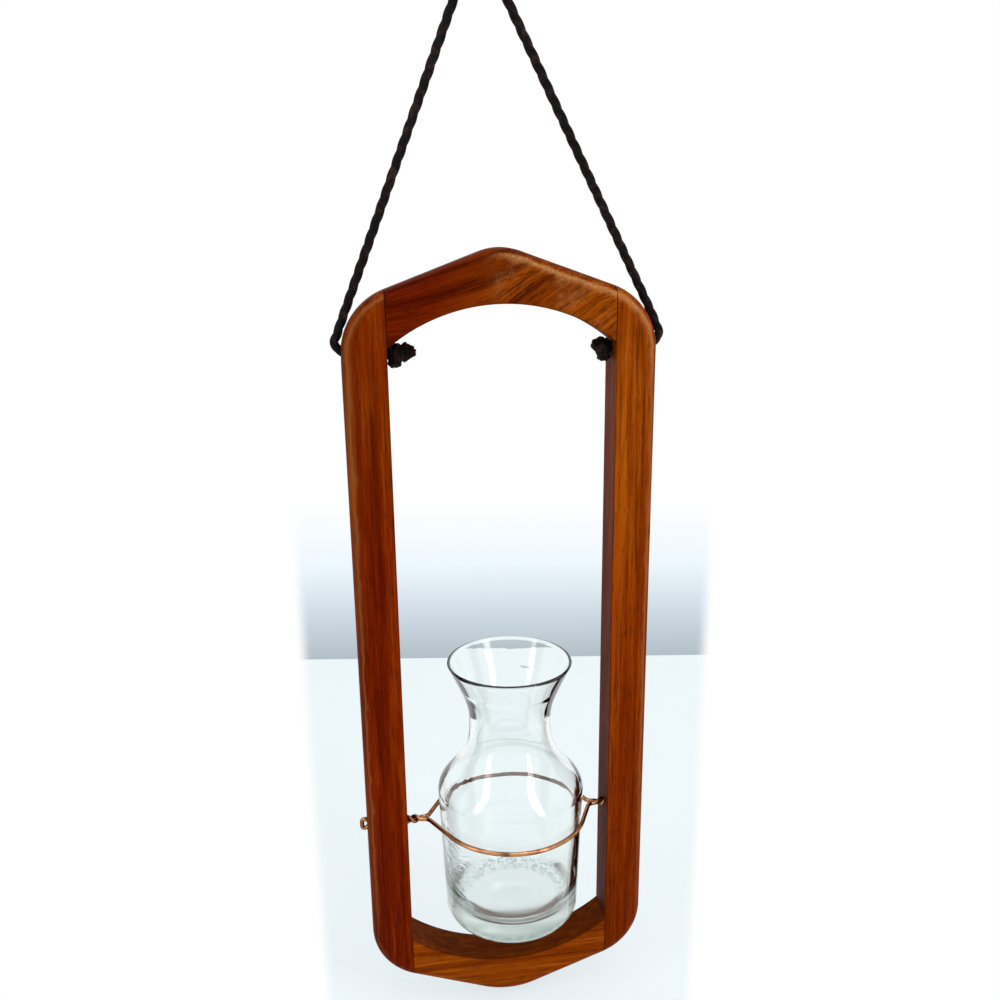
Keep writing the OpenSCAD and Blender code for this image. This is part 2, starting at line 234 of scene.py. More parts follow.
def sweep(
    bm: BMesh,
    path: Sequence[Vector],
    ring: Ring,
    side: Vector,
    turn: Callable[[float], float] = lambda along: 0.0,
    swell: Callable[[float], float] = lambda along: 1.0,
) -> None:
    """Pushes a closed ring along a path, one extrusion a step, and closes both ends.

    The skin's UV runs round the section in x, unturned, and along the path in y, in centimetres.

    Args:
        bm: The bmesh that takes the skin.
        path: Points along the middle.
        ring: Points of the section about its middle.
        side: Direction that the section's x axis starts from.
        turn: Turn of the section in radians at a distance along the path.
        swell: Factor on the section's size at a distance along the path.
    """
    around = bm.verts.layers.int.get("around") or bm.verts.layers.int.new("around")
    along = bm.verts.layers.float.get("along") or bm.verts.layers.float.new("along")
    uv = bm.loops.layers.uv.verify()
    old = set(bm.faces)
    verts = bmesh.ops.create_circle(bm, segments=len(ring), radius=1.0)["verts"]
    for k, vert in enumerate(verts):
        vert[around] = k
    edges = list({edge for vert in verts for edge in vert.link_edges})
    first, distance = edges, 0.0
    for i, place in enumerate(sections(path, side)):
        if i:
            distance += (path[i] - path[i - 1]).length
            made = bmesh.ops.extrude_edge_only(bm, edges=edges)["geom"]
            verts = [part for part in made if isinstance(part, BMVert)]
            new = set(verts)
            edges = [part for part in made if isinstance(part, BMEdge) and new.issuperset(part.verts)]
        turned = place @ Matrix.Rotation(turn(distance), 4, "Z") @ Matrix.Scale(swell(distance), 4)
        for vert in verts:
            vert.co = turned @ Vector((*ring[vert[around]], 0.0))
            vert[along] = distance
    for end in (first, edges):
        bmesh.ops.contextual_create(bm, geom=end)
    half = len(ring) / 2
    for face in set(bm.faces) - old:
        places = [loop.vert[around] for loop in face.loops]
        wraps = max(places) - min(places) > half
        for loop, k in zip(face.loops, places):
            k += len(ring) if wraps and k < half else 0
            s = loop.vert[along]
            loop[uv].uv = (k / len(ring) + turn(s) / math.tau, s / 10)


def circle(radius: float, count: int) -> list[tuple[float, float]]:
    """Gives the points of a round section."""
    turns = [math.tau * k / count for k in range(count)]
    return [(radius * math.cos(a), radius * math.sin(a)) for a in turns]


class NodeSheet:
    """Node tree of one material, with short calls to fill it."""

    def __init__(self, name: str) -> None:
        """Starts a material of the given name with a bare Principled shader."""
        self.material = bpy.data.materials.new(name)
        self.material.use_nodes = True
        self.nodes = self.material.node_tree.nodes
        self.links = self.material.node_tree.links
        self.shader = self.nodes["Principled BSDF"]
        self.output = self.nodes["Material Output"]

    def feed(self, node: bpy.types.Node, inputs: dict[str | int, object]) -> None:
        """Sets or links a node's inputs.

        Args:
            node: The node to feed.
            inputs: A socket to link from, or a value, for each input by name or number.
        """
        for key, value in inputs.items():
            if isinstance(value, bpy.types.NodeSocket):
                self.links.new(value, node.inputs[key])
            else:
                node.inputs[key].default_value = value

    def add(self, kind: str, inputs: dict[str | int, object] | None = None,
            **settings: object) -> bpy.types.Node:
        """Adds a node.

        Args:
            kind: The node's type, without ShaderNode.
            inputs: Its inputs, as for feed.
            settings: Its own settings.

        Returns:
            The new node.
        """
        node = self.nodes.new("ShaderNode" + kind)
        for key, value in settings.items():
            setattr(node, key, value)
        self.feed(node, inputs or {})
        return node

    def place(self) -> bpy.types.NodeSocket:
        """Gives the object's own coordinates."""
        return self.add("TexCoord").outputs["Object"]

    def drawn(self, where: bpy.types.NodeSocket, stretch: Sequence[float],
              shift: Sequence[float] = (0, 0, 0)) -> bpy.types.NodeSocket:
        """Gives a place that is scaled along each axis and then moved."""
        return self.add("Mapping", {"Vector": where, "Scale": stretch, "Location": shift}).outputs["Vector"]

    def axes(self) -> tuple[bpy.types.NodeSocket, bpy.types.NodeSocket, bpy.types.NodeSocket]:
        """Gives the object's own x, y and z."""
        parts = self.add("SeparateXYZ", {"Vector": self.place()}).outputs
        return parts["X"], parts["Y"], parts["Z"]

    def spot(self, centre: Sequence[float], stretch: Sequence[float], core: float, reach: float,
             ragged: float = 0.0) -> bpy.types.NodeSocket:
        """Gives a soft spot that is 1 inside its core and 0 past its reach.

        Args:
            centre: Middle of the spot in millimetres.
            stretch: Factors on the distance along each axis.
            core: Radius of the full spot in millimetres.
            reach: Radius at which it has faded.
            ragged: How far its edge wanders, in millimetres.

        Returns:
            The spot's value.
        """
        middle = [c * MM * f for c, f in zip(centre, stretch)]
        where = self.drawn(self.place(), stretch)
        distance = self.add("VectorMath", {0: where, 1: middle}, operation="DISTANCE").outputs["Value"]
        if ragged:
            distance = self.sum(distance, self.times(self.noise(self.place(), 700, 2), ragged * MM))
        return self.span(distance, core * MM, reach * MM, 1, 0)

    def noise(self, where: bpy.types.NodeSocket, scale: float, detail: float = 2.0, rough: float = 0.5,
              bend: float = 0.0) -> bpy.types.NodeSocket:
        """Gives the value of a noise texture."""
        inputs = {"Vector": where, "Scale": scale, "Detail": detail, "Roughness": rough, "Distortion": bend}
        return self.add("TexNoise", inputs).outputs["Fac"]

    def span(self, value: bpy.types.NodeSocket, low: float, high: float, to_low: float = 0.0,
             to_high: float = 1.0) -> bpy.types.NodeSocket:
        """Maps a value from one range to another, smoothly and without going past it."""
        inputs = {"Value": value, "From Min": low, "From Max": high, "To Min": to_low, "To Max": to_high}
        return self.add("MapRange", inputs, interpolation_type="SMOOTHSTEP").outputs["Result"]

    def band(self, value: bpy.types.NodeSocket, middle: float, reach: float) -> bpy.types.NodeSocket:
        """Gives 1 where a value is at a middle, falling smoothly to 0 at its reach."""
        rise = self.span(value, middle - reach, middle)
        return self.times(rise, self.span(value, middle, middle + reach, 1, 0))

    def ramp(self, value: bpy.types.NodeSocket, stops: Stops) -> bpy.types.NodeSocket:
        """Gives the colour of a value.

        Args:
            value: The value.
            stops: Two or more pairs of value and tone, from low to high.

        Returns:
            The colour's socket.
        """
        node = self.add("ValToRGB", {"Fac": value})
        elements = node.color_ramp.elements
        elements[0].position, elements[1].position = stops[0][0], stops[-1][0]
        for place, _ in stops[1:-1]:
            elements.new(place)
        for element, (_, code) in zip(elements, stops):
            element.color = tone(code)
        return node.outputs["Color"]

    def mix(self, share: object, a: object, b: object, blend: str = "MIX") -> bpy.types.NodeSocket:
        """Mixes two colours and gives the result."""
        return self.add("Mix", {0: share, 6: a, 7: b}, data_type="RGBA", blend_type=blend).outputs[2]

    def sum(self, a: object, b: object, kind: str = "ADD") -> bpy.types.NodeSocket:
        """Joins two values by a sum or another operation."""
        return self.add("Math", {0: a, 1: b}, operation=kind).outputs[0]

    def times(self, *values: object) -> bpy.types.NodeSocket:
        """Multiplies two values or more."""
        return reduce(lambda a, b: self.sum(a, b, "MULTIPLY"), values)

    def less(self, a: object, b: object) -> bpy.types.NodeSocket:
        """Takes the second value from the first."""
        return self.sum(a, b, "SUBTRACT")

    def size(self, value: object) -> bpy.types.NodeSocket:
        """Gives a value without its sign."""
        return self.sum(value, 0.0, "ABSOLUTE")

    def bump(self, height: bpy.types.NodeSocket, depth: float, strength: float = 1.0) -> None:
        """Raises the surface by a height map, depth in millimetres."""
        inputs = {"Height": height, "Distance": depth * MM, "Strength": strength}
        self.feed(self.shader, {"Normal": self.add("Bump", inputs).outputs["Normal"]})


@dataclass(frozen=True)
class PaintedArrisHighlight:
    """Pale line painted along a board's outer arris: a painted highlight where light catches its rounding.

    Its height is how far it lies from the frame's middle plane, and it fades in along the grain over its run.
    """

    height: float
    reach: float
    shade: str
    share: float
    run: tuple[float, float]
    specks: float = 0.0


@dataclass(frozen=True)
class WoodFinish:
    """Oiled hardwood board: its grain, its tones and its marks, with painted shade on its inner faces, its
    outer sides and towards one end, and painted highlights along its outer arrises.

    The window is the height of the middle, and the radius, of the line that the board's inner side lies on.
    """

    name: str
    grain: Grain
    deep: str
    body: str
    pale: str
    start: tuple[float, float, float]
    window: tuple[float, float] = (0.0, 42.4)
    lines: str = "2A0A02"
    shaded: str = "461600"
    gloss: float = 0.5
    tint: str | None = None
    tinted: tuple[float, float] = (0.0, 1.0)
    painted_highlights: tuple[PaintedArrisHighlight, ...] = ()
    curled: bool = False
    knot: tuple[float, float, float] | None = None
    scratches: tuple[tuple[float, float], ...] = ()

    def laid(self, sheet: NodeSheet) -> bpy.types.NodeSocket:
        """Gives the place within the grain, which in a curled board follows its slope and then sweeps up.

        Args:
            sheet: The material's node sheet.

        Returns:
            The place, with the grain drawn straight.
        """
        if not self.curled:
            return sheet.place()
        turn, left_end, foot, crown = 4 * MM, -36 * MM, -137 * MM, -99 * MM
        rise, steep, flatter = 0.28, 0.86, -0.38
        x, y, z = sheet.axes()
        fan = sheet.span(z, foot, crown)
        slope = sheet.times(sheet.sum(sheet.sum(x, turn, "MINIMUM"), -left_end), fan, rise)
        past = sheet.add("Math", {0: x, 1: turn, 2: 2 * turn}, operation="SMOOTH_MAX").outputs[0]
        curl = sheet.times(sheet.sum(past, -turn), sheet.sum(sheet.times(fan, flatter), steep))
        height = sheet.less(z, sheet.sum(slope, curl))
        return sheet.add("CombineXYZ", {"X": x, "Y": y, "Z": height}).outputs[0]

    def marks(self, sheet: NodeSheet, colour: bpy.types.NodeSocket) -> bpy.types.NodeSocket:
        """Adds painted shade on the inner faces and the outer sides, the dark joint lines, painted highlights
        along the outer arrises, the knot and the scratches.

        Args:
            sheet: The material's node sheet.
            colour: Colour of the clean board.

        Returns:
            The marked colour.
        """
        x, y, z = sheet.axes()
        off = sheet.size(y)
        wavy = sheet.sum(off, sheet.times(sheet.sum(sheet.noise(sheet.place(), 90, 3, 0.6), -0.5), 0.0022))
        upright = self.grain is Grain.UPRIGHT
        height, radius = self.window
        reach = (1, 0, 0) if upright else (1, 0, 1)
        within = sheet.spot((FRAME_MIDDLE.x, 0, height), reach, radius + 0.2, radius + 0.5)
        outer = sheet.less(1.0, within)
        # Painted shade: darkens the faces on the board's inner side, towards the window, to the shaded tone.
        colour = sheet.mix(sheet.times(within, 0.62), colour, tone(self.shaded))
        # Painted shade: darkens the outer side between the rounded arrises, near the frame's middle plane.
        middle = sheet.times(sheet.span(wavy, 0.0035, 0.0062, 0.28, 0), outer)
        colour = sheet.mix(middle, colour, tone("3A1A08"))
        joint = sheet.band(sheet.size(sheet.sum(x, -FRAME_MIDDLE.x * MM)), 0.0424, 0.00032)
        past = sheet.span(sheet.size(sheet.sum(z, -FRAME_MIDDLE.z * MM)), 0.1256, 0.1264)
        colour = sheet.mix(sheet.times(joint, past, 0.85), colour, tone("220A03"))
        # Painted highlights: pale lines along the outer arrises where light catches their rounding, some with
        # pale specks.
        for line in self.painted_highlights:
            faded = sheet.span(z if upright else x, line.run[0] * MM, line.run[1] * MM)
            share = sheet.times(sheet.band(wavy, line.height * MM, line.reach * MM), outer, faded)
            colour = sheet.mix(sheet.times(share, line.share), colour, tone(line.shade))
            if line.specks:
                speck = sheet.span(sheet.noise(sheet.place(), 1150, 3, 0.7), 0.5, 0.66, 0, line.specks)
                colour = sheet.mix(sheet.times(share, speck), colour, tone("C89468"))
        if self.knot:
            colour = sheet.mix(sheet.spot(self.knot, (1, 1, 0.55), 1.2, 4.4, 2.2), colour, tone("1C0802"))
            heart = (self.knot[0] - 0.4, self.knot[1], self.knot[2] - 0.6)
            colour = sheet.mix(sheet.spot(heart, (1, 1, 0.8), 0.2, 1.1, 0.6), colour, tone("6A3412"))
        for across, height in self.scratches:
            scratch = sheet.spot((across, -8.25, height), (0.45, 1, 1.5), 0.1, 0.72, 0.9)
            colour = sheet.mix(scratch, colour, tone("BE7E52"))
        return colour

    def material(self) -> bpy.types.Material:
        """Builds the finish: bands and streaks along the grain, dark lines, pores and a soft oil gloss.

        Returns:
            The material.
        """
        sheet = NodeSheet(self.name)
        laid = self.laid(sheet)

        def along(scale: float, share: float, detail: float = 2.0,
                  rough: float = 0.5) -> bpy.types.NodeSocket:
            """Gives a noise that is drawn out along the grain."""
            where = sheet.drawn(laid, self.grain.stretch(share), self.start)
            return sheet.noise(where, scale, detail, rough)

        fibre = along(1500, 0.05, 3, 0.6)
        bands = sheet.sum(sheet.times(along(115, 0.05), 0.38), sheet.times(along(420, 0.035), 0.37))
        bands = sheet.sum(bands, sheet.times(fibre, 0.25))
        colour = sheet.ramp(bands, ((0.40, self.deep), (0.5, self.body), (0.60, self.pale)))
        lines = sheet.span(along(760, 0.022, 3, 0.55), 0.33, 0.46, 0.5, 0)
        pores = sheet.span(along(2600, 0.08), 0.30, 0.43, 0.5, 0)
        colour = sheet.mix(lines, colour, tone(self.lines))
        colour = sheet.mix(pores, colour, tone(self.lines))
        if self.curled:
            short = sheet.times(sheet.span(along(1050, 0.24), 0.36, 0.5, 0.55, 0),
                                sheet.span(sheet.axes()[0], -5 * MM, 12 * MM))
            colour = sheet.mix(short, colour, tone("3C1604"))
        # Multiplies a tint towards one end of the board: painted shade that darkens the stiles towards their
        # lower ends, and on the top rail a darker left end that is partly the wood's own tone and partly
        # painted shade.
        if self.tint:
            axis = sheet.axes()[2 if self.grain is Grain.UPRIGHT else 0]
            low, high = self.tinted
            share = sheet.span(axis, low * MM, high * MM, 1, 0)
            colour = sheet.mix(share, colour, tone(self.tint), "MULTIPLY")
        colour = self.marks(sheet, colour)
        dull = sheet.span(fibre, 0.3, 0.7, self.gloss + 0.08, self.gloss - 0.08)
        sheet.feed(sheet.shader, {"Base Color": colour, "Specular IOR Level": 0.02, "Roughness": dull,
                                  "Specular Tint": tone("FFC48C")})
        sheet.bump(sheet.sum(fibre, sheet.times(pores, -0.8)), 0.05, 0.6)
        return sheet.material


@dataclass(frozen=True)
class CordFinish:
    """Dark waxed yarns, on the swept skin's own UV."""

    name: str = "waxed_dark_cord"
    dark: str = "0C0605"
    light: str = "2C1C18"
    painted_highlights: str = "5A4842"
    yarns: int = 30

    def material(self) -> bpy.types.Material:
        """Builds the finish: fine yarns along the cord, tones that vary, painted highlights along the yarns,
        painted shade between them and a dull wax sheen.

        Returns:
            The material.
        """
        sheet = NodeSheet(self.name)
        coords = sheet.add("TexCoord").outputs["UV"]
        waves = {"Vector": sheet.drawn(coords, (self.yarns / 3.2, 1.1, 1)), "Scale": 1.0, "Distortion": 1.8,
                 "Detail": 2.0, "Detail Scale": 2.5}
        thread = sheet.add("TexWave", waves).outputs["Fac"]
        wear_and_sheen = sheet.noise(sheet.place(), 300, 4, 0.62)
        colour = sheet.mix(sheet.span(wear_and_sheen, 0.42, 0.72), tone(self.dark), tone(self.light))
        # Painted highlights: the yarns' crests, where the wear noise is high, are lightened to the highlight
        # tone.
        shine = sheet.times(sheet.span(thread, 0.72, 1.0), sheet.span(wear_and_sheen, 0.5, 0.66))
        colour = sheet.mix(sheet.times(shine, 0.6), colour, tone(self.painted_highlights))
        # Painted shade: the hollows between the fine yarns are darkened.
        colour = sheet.mix(sheet.span(thread, 0.0, 0.4, 0.6, 0), colour, tone("040202"))
        sheet.feed(sheet.shader, {"Base Color": colour, "Roughness": sheet.span(wear_and_sheen, 0.3, 0.7, 0.48, 0.66),
                                  "Specular IOR Level": 0.09})
        sheet.bump(thread, 0.14, 0.8)
        return sheet.material


@dataclass(frozen=True)
class CopperFinish:
    """Drawn copper wire, lightly browned."""

    name: str = "bright_copper_wire"
    bright: str = "BE8A62"
    brown: str = "70452F"
    dull: str = "5A4034"

    def material(self) -> bpy.types.Material:
        """Builds the finish: drawn lines along the wire, soft patches of browning and painted shade that
        darkens its back half.

        Returns:
            The material.
        """
        sheet = NodeSheet(self.name)
        coords = sheet.add("TexCoord").outputs["UV"]
        line = sheet.noise(sheet.drawn(coords, (26, 0.35, 1)), 2.0, 3, 0.6)
        patch = sheet.noise(sheet.place(), 160, 3, 0.6)
        colour = sheet.mix(sheet.span(patch, 0.4, 0.72), tone(self.bright), tone(self.brown))
        # Painted shade: the back half of the wire is darkened to the dull tone.
        back = sheet.span(sheet.axes()[1], -0.004, 0.012)
        colour = sheet.mix(sheet.times(back, 0.8), colour, tone(self.dull))
        sheet.feed(sheet.shader, {"Base Color": colour, "Metallic": 1.0, "Specular Tint": tone("6A4030"),
                                  "Roughness": sheet.span(patch, 0.3, 0.75, 0.18, 0.34)})
        sheet.bump(line, 0.02, 0.5)
        return sheet.material


@dataclass(frozen=True)
class GlassFinish:
    """Clear pressed glass, green only where it is thick."""

    name: str = "clear_pressed_glass"
    cast: str = "D3E8DF"
    stipple_shade: str = "7E948E"
    density: float = 12.0

    def material(self) -> bpy.types.Material:
        """Builds the finish: clear glass with slow waves, chill marks, a stippled heel darkened by painted
        shade in its stipple, and a matt underside.

        Returns:
            The material.
        """
        sheet = NodeSheet(self.name)
        wave = sheet.noise(sheet.drawn(sheet.place(), (1, 1, 0.35)), 70, 2, 0.5, 0.4)
        chill = sheet.times(sheet.noise(sheet.drawn(sheet.place(), (0.4, 0.4, 1)), 300, 3, 0.6, 0.8),
                            sheet.spot((-18, -12, -350), (1, 1, 0.5), 6, 17), 2.0)
        grit = sheet.noise(sheet.place(), 480, 3, 0.65)
        inside = sheet.spot((RING_MIDDLE.x, 0, 0), (1, 1, 0), 20, 25)
        heel = sheet.times(sheet.span(sheet.axes()[2], -0.3708, -0.3675, 1, 0), sheet.less(1.0, inside))
        under = sheet.span(sheet.axes()[2], -0.3748, -0.3732, 0.34, 0.015)
        specks = sheet.span(sheet.noise(sheet.place(), 520, 3, 0.7), 0.46, 0.6, 0.2, 0.9)
        # Painted shade: specks of a darker green-grey on the stippled heel stand in for the shade in its
        # stipple.
        stipple_shade_mask = sheet.times(heel, specks)
        clear = sheet.mix(stipple_shade_mask, (0.985, 1.0, 0.993, 1), tone(self.stipple_shade))
        sheet.feed(sheet.shader, {"Base Color": clear, "Roughness": under, "IOR": 1.5,
                                  "Transmission Weight": 1.0, "Specular IOR Level": 0.5})
        sheet.bump(sheet.sum(sheet.sum(wave, chill), sheet.times(grit, heel, 1.2)), 0.35, 0.5)
        body = sheet.add("VolumeAbsorption", {"Color": tone(self.cast), "Density": self.density})
        sheet.links.new(body.outputs[0], sheet.output.inputs["Volume"])
        return sheet.material


@dataclass(frozen=True)
class StageFinish:
    """Pale matt floor or wall, as written to camera, metal and glass, that fades to white at both sides."""

    name: str
    low: float
    high: float
    tones: Stops
    lit: float
    eye: Vector
    ahead: Vector
    fade: tuple[float, float] = (0.196, 0.212)

    def distance(self, sheet: NodeSheet, direction: Vector) -> bpy.types.NodeSocket:
        """Gives how far a point lies from the eye in a level direction."""
        run = sheet.add("VectorMath", {0: sheet.place(), 1: direction}, operation="DOT_PRODUCT")
        return sheet.sum(run.outputs["Value"], -self.eye.dot(direction))

    def material(self) -> bpy.types.Material:
        """Builds the finish: a lamp-lit matt surface, with a plain glow for the rays that look at it.

        Returns:
            The material.
        """
        sheet = NodeSheet(self.name)
        across = Vector((self.ahead.y, -self.ahead.x, 0))
        aside = sheet.sum(self.distance(sheet, across), self.distance(sheet, self.ahead), "DIVIDE")
        faded = sheet.span(sheet.size(aside), *self.fade)
        height = sheet.add("MapRange", {"Value": sheet.axes()[2], "From Min": self.low,
                                        "From Max": self.high}).outputs["Result"]
        colour = sheet.mix(faded, sheet.ramp(height, self.tones), tone("FFFFFF"))
        sheet.feed(sheet.shader, {"Base Color": colour, "Roughness": 0.9, "Specular IOR Level": 0.0})
        glow = sheet.add("Emission", {"Color": colour, "Strength": 1.0}).outputs[0]
        lit = sheet.less(1.0, sheet.times(sheet.less(1.0, faded), self.lit))
        share = sheet.times(looking(sheet.nodes, sheet.links), lit)
        mixed = sheet.add("MixShader", {0: share, 1: sheet.shader.outputs[0], 2: glow}).outputs[0]
        sheet.links.new(mixed, sheet.output.inputs["Surface"])
        return sheet.material


def looking(nodes: bpy.types.Nodes, links: bpy.types.NodeLinks) -> bpy.types.NodeSocket:
    """Adds nodes that give 1 to the rays of the camera, of gloss and of glass, and 0 to the rest.

    Args:
        nodes: Nodes of a material or world.
        links: Links of the same tree.

    Returns:
        The socket with that value.
    """
    rays = nodes.new("ShaderNodeLightPath").outputs
    total = rays["Is Camera Ray"]
    for kind in ("Is Glossy Ray", "Is Transmission Ray"):
        either = nodes.new("ShaderNodeMath")
        either.operation = "MAXIMUM"
        links.new(total, either.inputs[0])
        links.new(rays[kind], either.inputs[1])
        total = either.outputs[0]
    return total


class Pen:
    """Draws an outline in a plane that faces the front, one operator a stroke."""

    def __init__(self, bm: BMesh, x: float, z: float, y: float) -> None:
        """Sets the pen down at a point of the plane at the given depth."""
        self.bm = bm
        self.y = y
        self.start = self.tip = bm.verts.new((x, y, z))

    def line(self, x: float, z: float) -> None:
        """Draws a straight stroke to a point."""
        self.tip = bmesh.ops.extrude_vert_indiv(self.bm, verts=[self.tip])["verts"][0]
        self.tip.co = (x, self.y, z)

    def arc(self, x: float, z: float, degrees: float, steps: int) -> None:
        """Turns the tip about a centre, against the clock as seen from the front."""
        made = bmesh.ops.spin(self.bm, geom=[self.tip], cent=(x, self.y, z), axis=FRONT,
                              angle=math.radians(degrees), steps=steps, use_duplicate=False)
        self.tip = next(part for part in made["geom_last"] if isinstance(part, BMVert))

    def close(self) -> BMFace:
        """Joins the tip to the start and fills the outline."""
        if (self.tip.co - self.start.co).length > 0.01:
            self.bm.edges.new((self.tip, self.start))
        bmesh.ops.remove_doubles(self.bm, verts=self.bm.verts, dist=0.005)
        return bmesh.ops.contextual_create(self.bm, geom=list(self.bm.edges))["faces"][0]


@dataclass
class WoodenFrame:
    """Two stiles and two rails with rounded outer arrises, bored for the cord and the wire."""

    width: float = 118.0
    depth: float = 16.5
    stile_w: float = 16.6
    joint_rise: float = 146.6
    slope: float = math.radians(20)
    arris_r: float = 6.0
    eased: float = 0.28
    spare: float = 4.0
    top_peak_r: float = 22.0
    bottom_peak_r: float = 34.0
    arch_end_rise: float = 126.2
    arch_h: float = 14.9
    cord_rise: float = 124.2
    cord_bore_r: float = 2.08
    mouth_r: float = 2.5
    pivot_drop: float = 72.0
    pivot_bore_r: float = 2.05
    blind_depth: float = 12.0
    sink_depth: float = 1.4
    sink_r: float = 3.0
    middle: Vector = field(default_factory=FRAME_MIDDLE.copy)

    @property
    def joint_x(self) -> float:
        """Distance of the joint planes from the frame's middle."""
        return self.width / 2 - self.stile_w

    @property
    def arch_r(self) -> float:
        """Radius of the arches inside the rails."""
        return (self.joint_x ** 2 + self.arch_h ** 2) / (2 * self.arch_h)

    @property
    def arch_rise(self) -> float:
        """Height of an arch's middle above the frame's."""
        return self.arch_end_rise + self.arch_h - self.arch_r

    def solid(self, bm: BMesh, outline: BMFace, is_outer: Callable[[Vector], bool]) -> None:
        """Gives an outline its depth and rounds the outer arrises.

        Args:
            bm: The bmesh that holds the outline, at the front face.
            outline: The outline's face.
            is_outer: Says whether the middle of an outline's edge lies on the outer side.
        """
        made = bmesh.ops.extrude_face_region(bm, geom=[outline])["geom"]
        back = [part for part in made if isinstance(part, BMVert)]
        bmesh.ops.translate(bm, vec=(0, self.depth, 0), verts=back)
        bmesh.ops.recalc_face_normals(bm, faces=bm.faces)
        self.ease(bm, is_outer, self.arris_r, 10)

    def ease(self, bm: BMesh, chosen: Callable[[Vector], bool], reach: float, segments: int) -> None:
        """Rounds over the chosen edges of the front and back faces.

        Args:
            bm: The board.
            chosen: Says whether the middle of an edge belongs to them.
            reach: Radius of the rounding.
            segments: Faces in the rounding.
        """
        rim = []
        for edge in bm.edges:
            a, b = (vert.co for vert in edge.verts)
            if abs(abs(a.y) - self.depth / 2) < 0.01 and abs(a.y - b.y) < 0.01 and chosen((a + b) / 2):
                rim.append(edge)
        bmesh.ops.bevel(bm, geom=rim, offset=reach, offset_type="OFFSET", segments=segments, profile=0.5,
                        affect="EDGES", material=-1, clamp_overlap=False)

    def stile(self) -> BMesh:
        """Makes the right stile about the frame's middle, and saws its spare width off at the joints.

        Returns:
            The stile's bmesh.
        """
        bm = bmesh.new()
        corner_r = self.stile_w / (1 - math.sin(self.slope))
        x, z = self.width / 2 - corner_r, self.joint_rise - corner_r * math.cos(self.slope)
        turn = 90 - math.degrees(self.slope)
        spare_x, spare_rise = self.joint_x - self.spare, self.joint_rise + self.spare * math.tan(self.slope)
        pen = Pen(bm, spare_x, -spare_rise, -self.depth / 2)
        pen.line(self.joint_x, -self.joint_rise)
        pen.arc(x, -z, turn, 18)
        pen.line(self.width / 2, z)
        pen.arc(x, z, turn, 18)
        pen.line(spare_x, spare_rise)
        self.solid(bm, pen.close(), lambda p: p.x > spare_x + 0.05)
        bmesh.ops.bisect_plane(bm, geom=[*bm.verts, *bm.edges, *bm.faces], plane_co=(self.joint_x, 0, 0),
                               plane_no=SIDEWAYS, clear_inner=True)
        bmesh.ops.contextual_create(bm, geom=[edge for edge in bm.edges if edge.is_boundary])
        for height in (-self.arch_end_rise, self.arch_end_rise):
            bmesh.ops.bisect_plane(bm, geom=[*bm.verts, *bm.edges, *bm.faces], plane_co=(0, 0, height),
                                   plane_no=UP)
        self.ease(bm, lambda p: p.x < self.joint_x + 0.01 and abs(p.z) < self.arch_end_rise, self.eased, 3)
        return bm

    def rail(self, peak_r: float) -> BMesh:
        """Makes a rail as it lies on top, about the frame's middle.

        Args:
            peak_r: Radius of its rounded peak.

        Returns:
            The rail's bmesh.
        """
        bm = bmesh.new()
        arch = Vector((0, 0, self.arch_rise))
        peak = self.joint_rise + self.joint_x * math.tan(self.slope) - peak_r / math.cos(self.slope)
        half = math.degrees(math.asin(self.joint_x / self.arch_r))
        foot = Vector((peak_r * math.sin(self.slope), 0, peak + peak_r * math.cos(self.slope)))
        pen = Pen(bm, -self.joint_x, self.arch_end_rise, -self.depth / 2)
        pen.arc(arch.x, arch.z, -2 * half, 48)
        pen.line(self.joint_x, self.joint_rise)
        pen.line(foot.x, foot.z)
        pen.arc(0, peak, 2 * math.degrees(self.slope), 14)
        pen.line(-self.joint_x, self.joint_rise)

        def lift(p: Vector) -> float:
            """Gives how far a point lies above the arch."""
            return (Vector((p.x, 0, p.z)) - arch).length - self.arch_r

        self.solid(bm, pen.close(), lambda p: abs(p.x) < self.joint_x - 0.05 and lift(p) > 0.5)
        self.ease(bm, lambda p: abs(lift(p)) < 0.05, self.eased, 3)
        return bm

    def cutter(self, profile: Sequence[tuple[float, float]], centre: Vector) -> bpy.types.Object:
        """Makes a round cutting tool whose axis runs along X.

        Args:
            profile: Its outline from end to end, as distance along X and radius.
            centre: Point of the axis that the distances count from.

        Returns:
            The tool as an object.
        """
        closed = ((profile[0][0], 0), *profile, (profile[-1][0], 0))
        bm = spun([Vector((x, 0, r)) for x, r in closed], SIDEWAYS, 40)
        bmesh.ops.translate(bm, vec=centre, verts=bm.verts)
        return finish_piece("cutting_tool", bm)

    def bored(self, piece: bpy.types.Object, tools: Iterable[bpy.types.Object]) -> None:
        """Cuts tools out of a piece and throws them away.

        Args:
            piece: The piece to bore.
            tools: Objects of the bores' shapes.
        """
        for tool in tools:
            cut = piece.modifiers.new("bore", "BOOLEAN")
            cut.operation, cut.solver, cut.object = "DIFFERENCE", "EXACT", tool
            graph = bpy.context.evaluated_depsgraph_get()
            mesh = bpy.data.meshes.new_from_object(piece.evaluated_get(graph))
            piece.modifiers.clear()
            piece.data = mesh
            bpy.data.objects.remove(tool)

    def cord_tool(self, side: float) -> bpy.types.Object:
        """Makes the tool for the cord's bore, with its eased outer mouth.

        Args:
            side: The left stile (-1) or the right one (1).

        Returns:
            The tool.
        """
        r, mouth = self.cord_bore_r, self.mouth_r
        eased = bow(self.stile_w - mouth, r + mouth, mouth, -75, 0, 5)
        run = [(-1.0, r), (self.stile_w - mouth, r), *((p.x, p.z) for p in eased),
               (self.stile_w + 1, r + mouth)]
        start = Vector((side * self.joint_x, 0, self.cord_rise))
        return self.cutter([(side * x, r) for x, r in run], start + self.middle)

